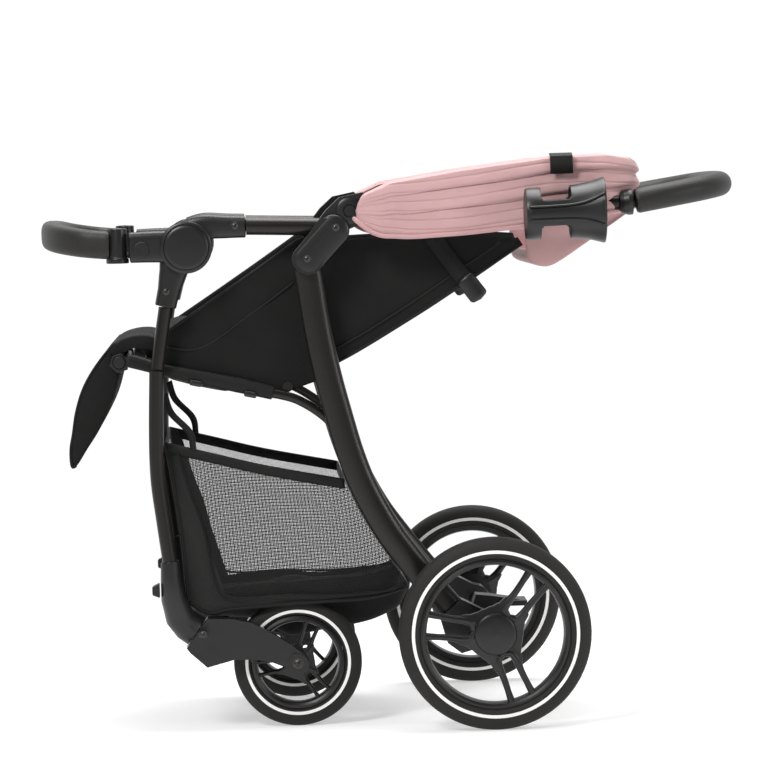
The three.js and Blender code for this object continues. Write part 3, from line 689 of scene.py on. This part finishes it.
def net(name, colour, pitch, hole, region=None):
    """Open net: round holes in a staggered grid, cut out by Alpha, where the sum of two cosines is high.

    region, if given, is 1 where the net is open."""
    material, shader, here = new_material(name, Base_Color=(*colour, 1), Roughness=0.6,
                                          Specular_IOR_Level=0.3)
    threads = here.node("ShaderNodeUVMap", {"uv_map": "threads"})
    turns = 2 * np.pi / (pitch * MM)
    u, v = (here.node("ShaderNodeSeparateXYZ", None, {0: threads}, k) * turns for k in (0, 1))
    cell = here.math("COSINE", u) + here.math("COSINE", v)
    opened = here.math("GREATER_THAN", cell, hole)
    if region:
        opened = opened * region(here)
    (1 - opened).into(shader, "Alpha")
    relief(here, cell, shader, 0.0002, 0.6)
    return material


def open_part(here):
    """1 within the see-through window of the side, 0 on its dense border."""
    x, z = (here.node("ShaderNodeSeparateXYZ", None, {0: here}, k) for k in (0, 2))
    beyond = here.math("GREATER_THAN", x + 0.31 * z, (-290 + 0.31 * 370) * MM)
    above = here.math("GREATER_THAN", z + 0.003 * here.math("SINE", 48 * x), 176 * MM)
    return beyond * above


seat_cloth = woven("seat_fabric", (0.0055, 0.0053, 0.0052), (0.0115, 0.011, 0.0106), sheen=0.03)
tape = woven("black_tape", (0.0055, 0.0053, 0.0051), (0.011, 0.0105, 0.010), 2.2, 0.0002, 0.6, 0.02)
# The right side's net is finer, so that the two don't beat into blotches where one shows through the other.
side_nets = [net(f"basket_side_net_{word}", (0.012, 0.012, 0.0115), pitch, 0.1, open_part)
             for word, pitch in (("left", 2.2), ("right", 1.6))]
BASKET_HALF = 170
TAPE_Y = BASKET_HALF + 1
RIM_BAND = 13
HANGER_Y = 172
RIM_LINE = [(-305, 386), (-240, 369), (-171, 351), (-69, 330)]
BASE_LINE = [(-281, 172), (-253, 156), (-223, 160), (-149, 165), (-100, 167), (-36, 171), (14, 184)]
FRONT_EDGE = [(-305, 386), (-296, 330), (-287, 260), (-281, 172)]
WINDOW_EDGE = [(-290, 372), (-275, 318), (-258, 268), (-244, 196), (-232, 179), (-197, 175), (-148, 177),
               (-83, 175), (-12, 180), (6, 188)]


def piping(name, points, radius, body, y):
    """A thin corded edge: a circle carried along a line of (x, z) points at y, in mm."""
    mesh = sweep(name, [(px, y, pz) for px, pz in points], radius, count=120, sides=10, rounded=2)
    return new_piece(name, tape, body, mesh)


for word, side in SIDES:
    wall = between(BASE_LINE, RIM_LINE, 90, 40, side * BASKET_HALF)
    s, t = np.meshgrid(np.linspace(0, 1, 90), np.linspace(0, 1, 40), indexing="ij")
    ripple = 1.1 * np.sin(9 * s + 5 * t) * np.sin(np.pi * t) + 0.8 * np.sin(23 * s - 7 * t) * (1 - t)
    wall[..., 1] += side * (7 * np.sin(np.pi * s) * np.sin(np.pi * t) + ripple)
    stands = ["storage_basket"] if side < 0 else []
    cloth(f"basket_side_{word}", wall, side_nets[side > 0], "rear_frame", 0, stands)
    rim_strip = between([(x, z - RIM_BAND) for x, z in RIM_LINE], RIM_LINE, 60, 6, side * TAPE_Y)
    rim_strip[..., 1] += side * 2.2 * np.sin(np.pi * np.linspace(0, 1, 6))[None]
    cloth(f"basket_rim_{word}", rim_strip, tape, "rear_frame", 2.4)
    piping(f"basket_base_piping_{word}", BASE_LINE, 2.6, "rear_frame", side * TAPE_Y)
    piping(f"basket_front_piping_{word}", FRONT_EDGE, 2.6, "rear_frame", side * TAPE_Y)
    piping(f"basket_window_seam_{word}", WINDOW_EDGE, 1.5, "rear_frame", side * 176)
    y = side * HANGER_Y
    hanger = spline([(-304, y, 450), (-296, y, 425), (-272, y, 398), (-268, y, 372)], 30)
    strip = np.stack([hanger + [-4, 0, -2], hanger + [4, side * 1.5, 2]], 1)
    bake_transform(cloth(f"basket_hanger_{word}", strip, tape, None, 1.6), "seat_frame", "rear_frame",
             (-0.3, y * MM, 0.445), (-0.285, y * MM, 0.4))


def across(line, half, columns):
    """A level sheet from y = -half to half, carried along an (x, z) curve of points, in mm."""
    row = spline([(x, 0, z) for x, z in line], 60)[:, None]
    y = np.linspace(-1, 1, columns)[None, :, None]
    grid = np.repeat(row, columns, axis=1)
    grid[..., 1] = half * y[..., 0]
    return grid


basket_cloth = woven("basket_base_cloth", (0.007, 0.0068, 0.0066), (0.013, 0.0125, 0.012), 1.6)
dense_net = net("basket_end_net", (0.012, 0.012, 0.0115), 2.4, 1.1)
cloth("basket_front", across(FRONT_EDGE, BASKET_HALF, 60), dense_net, "rear_frame", 0)
back = across([(-69, 330), (-40, 268), (14, 184)], BASKET_HALF, 60)
cloth("basket_back", back, dense_net, "rear_frame", 0)
# The base sags in a trough between the wheels, and rises to both sides as a smooth step.
base = across(BASE_LINE, BASKET_HALF, 90)
x, y = base[..., 0], np.abs(base[..., 1])
depth = np.interp(x, [-281, -250, -200, -146, -57, 2, 14], [6, 10, 20, 49, 40, 30, 12])
edge = np.clip((126 - y) / 24, 0, 1)
base[..., 2] -= depth * edge**2 * (3 - 2 * edge) + 0.8 * np.sin(x / 17) * np.sin(y / 23)
cloth("basket_base", base, basket_cloth, "rear_frame", 2, ())
for name, (x, z) in (("front", RIM_LINE[0]), ("back", RIM_LINE[-1])):
    band = np.stack([[(x, y, z - RIM_BAND), (x, y, z)] for y in np.linspace(-TAPE_Y, TAPE_Y, 40)])
    cloth(f"basket_rim_{name}", band, tape, "rear_frame", 2.4)

# ------------------------------------------------------------------ seat sides and seat pad
# Two-ply cloth sides are sewn to the sleeves round the rails and rise to the armrests.
# The pad between them is foam in the same cloth.
PUFF_STEPS, VOXEL, PRESSURE, SHRINK = 20, 0.0055, 4.0, 0.002


def puffed(node, body, material):
    """A foam pad: the solid's shape, remeshed, then blown against its own cloth in a short simulation."""
    mesh = frame["nodes"][node].data.copy()
    pad = new_piece(f"{node}_cover", material, None, mesh)
    bpy.context.view_layer.objects.active = pad
    pad.select_set(True)
    remesh = pad.modifiers.new("remesh", "REMESH")
    remesh.mode = "VOXEL"
    remesh.voxel_size = VOXEL
    bpy.ops.object.modifier_apply(modifier="remesh")
    inward = pad.modifiers.new("start_smaller", "DISPLACE")
    inward.strength = -SHRINK
    inward.mid_level = 0
    bpy.ops.object.modifier_apply(modifier="start_smaller")
    fabric = pad.modifiers.new("blown", "CLOTH")
    fabric.settings.use_pressure = True
    fabric.settings.uniform_pressure_force = PRESSURE
    fabric.settings.effector_weights.gravity = 0
    fabric.settings.tension_stiffness = 30
    fabric.point_cache.frame_end = PUFF_STEPS
    for step in range(1, PUFF_STEPS + 1):
        scene.frame_set(step)
    bpy.ops.object.modifier_apply(modifier="blown")
    scene.frame_set(1)
    pad.select_set(False)
    pad.data.shade_smooth()
    layer = pad.data.uv_layers.get("threads") or pad.data.uv_layers.new(name="threads")
    corner = np.empty(len(pad.data.loops), int)
    pad.data.loops.foreach_get("vertex_index", corner)
    place = np.empty(len(pad.data.vertices) * 3)
    pad.data.vertices.foreach_get("co", place)
    place = place.reshape(-1, 3)[corner]
    flat = np.stack([place[:, 1], np.hypot(place[:, 0], place[:, 2])], 1)
    layer.data.foreach_set("uv", flat.astype(np.float32).ravel())
    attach(pad, body)
    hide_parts(node)
    return pad


puffed("seat_pad", "seat_frame", seat_cloth)
SEAT_HALF, SEAT_SEAM_Y = 164, 168.2
WING_LOW = [(-322, 488), (-296, 479), (-230, 462), (-165, 445), (-98, 462)]
WING_TOP = [(-299, 533), (-240, 571), (-176, 613), (-118, 652), (-106, 648)]
WING_SEAM = [(-300, 512), (-263, 508), (-232, 521), (-198, 545), (-160, 571), (-127, 595)]
for word, side in SIDES:
    grid = between(WING_LOW, WING_TOP, 70, 40, side * SEAT_HALF)
    s, t = np.meshgrid(np.linspace(0, 1, 70), np.linspace(0, 1, 40), indexing="ij")
    ripple = 0.9 * np.sin(14 * s + 9 * t) * t * (1 - t) * 4
    grid[..., 1] += side * (3 * np.sin(np.pi * s) * np.sin(np.pi * t) + ripple)
    cloth(f"seat_side_{word}", grid, seat_cloth, "seat_frame", 3.4, [f"side_wing_{word}"])
    piping(f"seat_side_edge_{word}", WING_TOP[:-1], 2, "seat_frame", side * (SEAT_HALF + 1))
    piping(f"seat_side_seam_{word}", WING_SEAM, 1.3, "seat_frame", side * SEAT_SEAM_Y)

CLIP_Y = 181
RAIL_LINE = [(-352, 497), (-322, 488), (-295, 480), (-268, 474), (-200, 458), (-158, 447)]
for word, side in SIDES:
    line = [(x, side * RAIL_Y, z) for x, z in RAIL_LINE]
    size = [(6, 9), (6, 8), (6, 9), (6.5, 10), (6, 9)]
    sleeve = sweep(f"rail_sleeve_{word}", line, size, count=90, rounded=3)
    new_piece(f"rail_sleeve_{word}", tape, "seat_frame", sleeve)
    for x, z in ((-262, 464), (-190, 447)):
        line = [(x - 9, side * CLIP_Y, z + 2), (x + 9, side * CLIP_Y, z - 2)]
        clip = sweep(f"rail_clip_{abs(x)}_{word}", line, (2.5, 4), count=12, sides=16, rounded=3)
        new_piece(f"rail_clip_{abs(x)}_{word}", nylon, "seat_frame", clip)

# ------------------------------------------------------------------ backrest
# A stiff board padded with foam, quilted across, with cloth sides bound in tape.
# A web and a buckle on each side set how far it leans back.
BACK_HALF = 158
BACK_LOW = [(-130, 466), (-67, 489), (26, 541), (93, 582), (172, 633)]
BACK_TOP = [(-112, 640), (-60, 649), (20, 652), (100, 655), (166, 651)]
BACK_SEAM = [(-118, 492), (-64, 509), (12, 552), (84, 598), (150, 640)]
board = across([(x + 4, z + 7) for x, z in BACK_LOW], BACK_HALF - 2, 70)
s, t = np.meshgrid(np.linspace(0, 1, 60), np.linspace(-1, 1, 70), indexing="ij")
board[..., 2] += 3 * np.cos(9 * np.pi * s) * (1 - t**6) + 2 * (1 - t**2)
cloth("backrest_board", board, seat_cloth, "backrest", 13, ["backrest"])
for word, side in SIDES:
    grid = between(BACK_LOW, BACK_TOP, 80, 40, side * BACK_HALF)
    s, t = np.meshgrid(np.linspace(0, 1, 80), np.linspace(0, 1, 40), indexing="ij")
    grid[..., 1] += side * (2.4 * np.sin(np.pi * t) + 1.2 * np.sin(11 * s + 7 * t) * t)
    cloth(f"backrest_side_{word}", grid, seat_cloth, "backrest", 3)
    piping(f"backrest_edge_{word}", BACK_LOW, 2.6, "backrest", side * BACK_HALF)
    piping(f"backrest_seam_{word}", BACK_SEAM, 1.3, "backrest", side * (BACK_HALF + 4))
    web = spline([(58, side * 163, 650), (80, side * 165, 618), (101, side * 165, 590)], 24)
    strip = np.stack([web + [-10, 0, -5], web + [10, 0, 5]], 1)
    cloth(f"recline_web_{word}", strip, tape, "backrest", 1.6)
    line = [(98, side * 166, 595), (121, side * 167, 564)]
    buckle = sweep(f"recline_buckle_{word}", line, (4.5, 13), count=20, sides=24, rounded=6)
    new_piece(f"recline_buckle_{word}", nylon, "backrest", buckle)

# ------------------------------------------------------------------ footrest pad
# A thin foam calf pad in the seat's cloth, wrapped over the cross rod.
# A soft roll of the same cloth joins it to the seat's front edge.
PAD_HALF, PAD_ROUND = 150, 12
PAD_OUTLINE = [(-368, 520), (-383, 504), (-401, 480), (-414, 456), (-423, 428), (-428, 400), (-432, 378),
               (-431, 356), (-424, 357), (-410, 378), (-394, 402), (-376, 436), (-366, 466), (-360, 496)]


def loaf(name, outline, half, material, body, stands_for=()):
    """A foam pad: a closed (x, z) outline carried from y = -half to half, rounded over PAD_ROUND mm.

    Over that length the section shrinks as a quarter circle, by up to 17 per cent."""
    ring = spline([(x, 0, z) for x, z in [*outline, outline[0]]], 97)[:-1]
    ends = np.array([0.85, 0.92, 0.96, 0.983, 0.997, 1])
    y = half * np.array([*-ends[::-1], *np.linspace(-0.77, 0.77, 24), *ends])
    edge = np.clip((half - np.abs(y)) / PAD_ROUND, 0, 1)
    shrink = 1 - 0.17 * (1 - np.sqrt(1 - (1 - edge) ** 2))
    grid = ring.mean(0) + (ring - ring.mean(0))[None] * shrink[:, None, None]
    grid[..., 1] = y[:, None]
    pad = new_piece(name, material, body, skin(name, grid), stands_for)
    corner = np.empty(len(pad.data.loops), int)
    pad.data.loops.foreach_get("vertex_index", corner)
    flat = (grid.reshape(-1, 3)[corner][:, 1:] * MM).astype(np.float32)
    pad.data.uv_layers.new(name="threads").data.foreach_set("uv", flat.ravel())
    return pad


loaf("footrest_cover", PAD_OUTLINE, PAD_HALF, seat_cloth, "footrest", ["footrest_pad"])
ROLL_OUTLINE = [(-288, 512), (-316, 527), (-334, 530), (-354, 527), (-369, 520), (-382, 506), (-377, 495),
                (-366, 503), (-350, 510), (-334, 511), (-312, 507), (-288, 500)]
roll = loaf("seat_front_roll", ROLL_OUTLINE, PAD_HALF, seat_cloth, None)
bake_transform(roll)
for word, side in SIDES:
    piping(f"footrest_piping_{word}", PAD_OUTLINE[:9], 1.8, "footrest", side * (PAD_HALF - 3))

# ------------------------------------------------------------------ canopy
# A pink polyester hood sewn to two bows, folded into a horseshoe stack of pleats round the backrest's top.
# Its lower edge is bound, a flap hangs behind the back, and a blank tag is sewn to its outer side.
canopy_cloth = woven("canopy_polyester", (0.50, 0.30, 0.303), (0.62, 0.385, 0.388), 1.2, 0.0001, 0.75, 0.25)
canopy_edge = woven("canopy_binding", (0.47, 0.27, 0.275), (0.58, 0.345, 0.35), 1.2, 0.00012, 0.7, 0.25)
HOOD_ROOT, HOOD_FRONT, HOOD_BACK = -49, -44.5, 338
FLAP_HALF = 148
HALF_PLAN = [(-45, -194), (-44, -207), (-30, -213), (60, -211), (180, -209), (262, -206), (300, -197),
             (326, -176), (336, -140), (338, -70)]
far_half = [(x, -y, 0) for x, y in reversed(HALF_PLAN)]
plan = spline([*[(x, y, 0) for x, y in HALF_PLAN], (HOOD_BACK, 0, 0), *far_half], 420)
_, outward = frames(plan, (0, 0, 1))
at_x = np.clip(plan[:, 0], HOOD_FRONT, HOOD_BACK)
STACK_LOW = [[-45, -42, -34, -11, 28, 96, 179, 240, 300, 338],
             [680, 671, 663, 653, 650, 653, 660, 667, 676, 684]]
STACK_TOP = [[-45, -42, -34, -13, 3, 98, 213, 291, 324, 338],
             [686, 696, 705, 714, 721, 735, 748, 750, 746, 737]]
low, high = np.interp(at_x, *STACK_LOW), np.interp(at_x, *STACK_TOP)
turned_out = np.sign((outward * (plan - [120, 0, 0])).sum(1))[:, None] * outward
face = np.linspace(0, 1, 120)
# Three broad pleats lie like shingles: each swells just above its lower edge and tucks under the next.
# Thin creases run out from the hinge between them, where the absolute sine is near 0.
drift = 0.05 * np.sin(at_x[:, None] / 61) + 0.02 * np.sin(at_x[:, None] / 23 + 1)
place = np.clip(2.75 * face[None] ** 1.15 + drift, 0, None)
within = place - np.floor(place)
pleat = (1 - np.exp(-14 * within)) * (1 - 0.6 * within) - 0.45
grow = np.clip((at_x[:, None] - HOOD_ROOT) / 330, 0, 1)
ray = np.sin(19 * face[None] + at_x[:, None] / 120 + 0.8 * np.sin(at_x[:, None] / 47))
ripple = np.sin(at_x[:, None] / 15 + 9 * face[None]) * np.sin(np.pi * face[None])
crease = 0.7 * ripple - 1.6 * (1 - np.abs(ray)) ** 3
bulge = 12.5 * grow**0.6 * pleat + crease * np.clip(6 * grow, 0, 1)
skirt = plan[:, None] + turned_out[:, None] * (bulge - 2)[..., None]
skirt[..., 2] = low[:, None] + (high - low)[:, None] * face[None]
width = np.interp(at_x, [-49, -30, 230, 290, 338], [8, 26, 34, 60, 96])
roof = np.linspace(0, 1, 24)[1:]
lid = skirt[:, -1:] - turned_out[:, None] * (width[:, None] * roof[None])[..., None]
lid[..., 2] = high[:, None] + 3 * np.sin(np.pi * roof[None]) - 8 * np.clip(roof[None] - 0.8, 0, 1)
shell = cloth("canopy_hood", np.concatenate([skirt, lid], axis=1), canopy_cloth, None, 1.4,
              ["canopy_front", "canopy_middle"])
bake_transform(shell)
hem = np.concatenate([plan[:, :2] + turned_out[:, :2] * 1.5, low[:, None]], axis=1)
hem_mesh = sweep("canopy_hem", hem[::6], 3, (0, 0, 1), count=240, sides=12, rounded=3)
new_piece("canopy_hem", canopy_edge, "upper_frame", hem_mesh)
FLAP_LINE = [(334, 682), (300, 660), (262, 634), (222, 609), (204, 606), (188, 613), (184, 628)]
flap = across(FLAP_LINE, FLAP_HALF, 60)
cloth("canopy_rear_flap", flap, canopy_cloth, "upper_frame", 1.6, ["canopy_rear"])
for word, side in SIDES:
    below = [(184, 630), (190, 612), (204, 606), (222, 608), (262, 633), (300, 659), (334, 682)]
    above = [(182, 668), (240, 676), (336, 690)]
    gusset = between(below, above, 50, 24, side * FLAP_HALF)
    s, t = np.meshgrid(np.linspace(0, 1, 50), np.linspace(0, 1, 24), indexing="ij")
    gusset[..., 1] += side * 3 * np.sin(np.pi * t) * np.sin(5 * s + 6 * t)
    cloth(f"canopy_flap_side_{word}", gusset, canopy_cloth, "upper_frame", 1.5)
TAG_LINE = ((-216, 728), (-217, 741), (-214, 751), (-200, 755))
tag = np.stack([[(x, y, z) for y, z in TAG_LINE] for x in np.linspace(214, 244, 12)])
cloth("canopy_tag", tag, tape, "canopy_front", 1.4)

# ------------------------------------------------------------------ screws and trims
# Blackened steel pan-head screws hold the mouldings to the tubes, larger ones the front wheels.
# A plain round cover is pressed into each front hub.
def outer(node, side):
    """How far out from the middle a part reaches on its own side, in mm."""
    return max(abs(corner[1]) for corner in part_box(node)) / MM * side


blackened, blackened_shader, here = new_material("blackened_steel", Metallic=0.8,
                                                 Base_Color=(0.06, 0.058, 0.055, 1))
(0.3 + 0.1 * noise(here, 700, 2)).into(blackened_shader, "Roughness")
SCREWS = [("hub", "front_frame", -297, 587), ("armrest_end", "upper_frame", -204, 671),
          ("hinge_bracket", "upper_frame", -110, 625), ("hinge_bracket", "upper_frame", -71, 665),
          ("elbow", "front_frame", -262, 131), ("fork", None, -137, 85.8)]
# How far out the screws sit, in mm, where a moulding is slimmer or thicker than the solid it stands for.
PROUD = {("hub", -297): 207.2, ("armrest_end", -204): 203, ("hinge_bracket", -110): 213.4,
         ("hinge_bracket", -71): 213.4}
HEAD = [(0.01, -2), (0.01, 0.5), (1.6, 0.4), (1.9, 1.5), (3.4, 1.2), (4.4, 0.2), (5.4, 0.3), (5.9, -0.4),
        (5.9, -2)]
for word, side in SIDES:
    for node, body, x, z in SCREWS:
        y = side * PROUD.get((node, x), abs(outer(f"{node}_{word}", side)))
        size = 1.5 if node == "fork" else 1  # the wheel bolts are larger
        mesh = lathe(f"{node}_screw_{abs(x)}_{word}", [(size * r, side * size * d) for r, d in HEAD],
                     (x, z), y, 40)
        new_piece(f"{node}_screw_{abs(x)}_{word}", blackened, body or f"castor_{word}", mesh)
    y = outer(f"hub_{word}", side)
    cover = [(0.01, -2), (0.01, 2.6), (24, 2.4), (28.6, 1.9), (29.4, 1.1), (30.2, 1.9), (33, 1.6),
             (34.4, 0.2), (34.4, -2)]
    mesh = lathe(f"hub_cover_{word}", [(r, side * d) for r, d in cover], HUB, y, 96)
    new_piece(f"hub_cover_{word}", rim_plastic, "front_frame", mesh)
